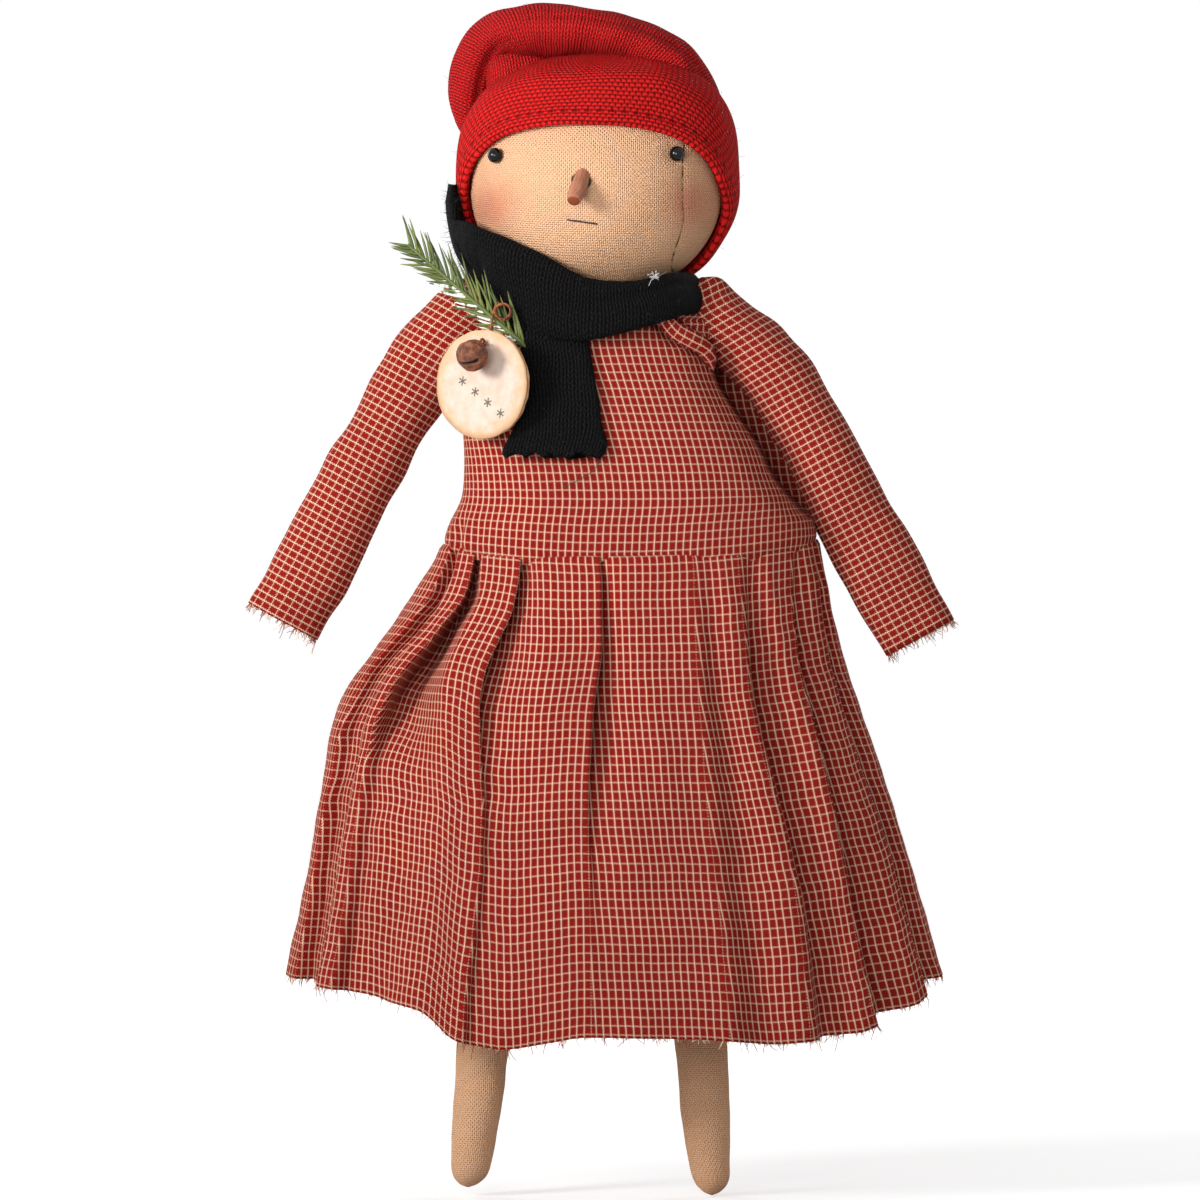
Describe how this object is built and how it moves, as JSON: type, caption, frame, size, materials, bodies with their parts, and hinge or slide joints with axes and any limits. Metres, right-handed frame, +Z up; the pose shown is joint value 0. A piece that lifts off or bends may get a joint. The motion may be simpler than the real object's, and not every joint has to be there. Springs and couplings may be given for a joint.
{
  "type": "stuffed snowman doll",
  "caption": "Stuffed cloth snowman doll in a checked long-sleeved dress, knitted cap and scarf, with a peg nose, bead eyes, a spruce sprig, a bell and a plain hanging tag.",
  "frame": {"origin": "on the flat of the back of the bodice, in line with the neck, where the doll leans or is held", "axes": "+Z up from the feet to the cap, +Y out of the back, so the face looks along -Y, and +X to the right as seen from the front"},
  "size_m": [0.2992, 0.1461, 0.5055],
  "materials": {
    "linen": "plain woven cotton and linen, matt",
    "fibrefill": "loose white fibre, matt",
    "checked_cotton": "homespun mini check, matt",
    "red_knit": "stocking stitch knit, matt",
    "black_knit": "chunky knit, matt",
    "black_bead": "polished",
    "stained_wood": "stained, satin",
    "plain_wood": "bare",
    "thread": "cotton thread",
    "cream_card": "uncoated, aged edge",
    "rust": "rusted, matt",
    "spruce": "moulded, frosted in places"
  },
  "bodies": {
    "torso": {"torso_skin": "linen", "torso_stuffing": "fibrefill", "neck_dowel": "plain_wood", "bodice": "checked_cotton", "scarf_wrap": "black_knit", "scarf_front_tail": "black_knit", "scarf_back_end": "black_knit", "shoulder_thread_left": "thread", "shoulder_thread_right": "thread", "spruce_sprig": "spruce", "ornament_wire": "rust"},
    "head": {"head_centre_panel": "linen", "head_side_panel_left": "linen", "head_side_panel_right": "linen", "head_stuffing": "fibrefill", "eye_left": "black_bead", "eye_right": "black_bead", "nose_peg": "stained_wood", "mouth_stitch": "thread", "hat": "red_knit"},
    "left_arm": {"sleeve_left": "checked_cotton", "arm_skin_left": "linen", "arm_stuffing_left": "fibrefill"},
    "right_arm": {"sleeve_right": "checked_cotton", "arm_skin_right": "linen", "arm_stuffing_right": "fibrefill"},
    "hips": {"hip_band": "linen", "skirt": "checked_cotton"},
    "left_leg": {"leg_skin_left": "linen", "leg_stuffing_left": "fibrefill"},
    "right_leg": {"leg_skin_right": "linen", "leg_stuffing_right": "fibrefill"},
    "tag": {"tag_front_disc": "cream_card", "tag_back_disc": "cream_card"},
    "bell": {"bell_upper_shell": "rust", "bell_lower_shell": "rust", "bell_loop": "rust"},
    "pellet": {"bell_pellet": "rust"}
  },
  "joints": [
    {"name": "head_turn", "type": "hinge", "parent": "torso", "child": "head", "pos_m": [0, -0.0395, 0.076], "axis": [0, 0, 1], "range_deg": [-30, 30]},
    {"name": "left_arm_raise", "type": "hinge", "parent": "torso", "child": "left_arm", "pos_m": [-0.06487, -0.0395, 0.059], "axis": [0, 1, 0], "range_deg": [-5, 75]},
    {"name": "right_arm_raise", "type": "hinge", "parent": "torso", "child": "right_arm", "pos_m": [0.06487, -0.0395, 0.059], "axis": [0, -1, 0], "range_deg": [0, 75]},
    {"name": "hip_sit", "type": "hinge", "parent": "torso", "child": "hips", "pos_m": [0, -0.0395, -0.0878], "axis": [-1, 0, 0], "range_deg": [-10, 80], "deforming": ["skirt"]},
    {"name": "left_leg_swing", "type": "hinge", "parent": "hips", "child": "left_leg", "pos_m": [-0.041, -0.0395, -0.0878], "axis": [-1, 0, 0], "range_deg": [-14, 14]},
    {"name": "right_leg_swing", "type": "hinge", "parent": "hips", "child": "right_leg", "pos_m": [0.04, -0.0395, -0.0878], "axis": [-1, 0, 0], "range_deg": [-14, 14]},
    {"name": "tag_swing", "type": "hinge", "parent": "torso", "child": "tag", "pos_m": [-0.048, -0.08133, 0.0495], "axis": [-0.5446, -0.8387, 0], "range_deg": [-25, 25]},
    {"name": "bell_spin", "type": "hinge", "parent": "torso", "child": "bell", "pos_m": [-0.04808, -0.08587, 0.0495], "axis": [-0.4461, -0.687, -0.5736], "range_deg": [-30, 30]},
    {"name": "pellet_rattle", "type": "slide", "parent": "bell", "child": "pellet", "axis": [0, 0, 1], "range_m": [0, 0.005]}
  ]
}
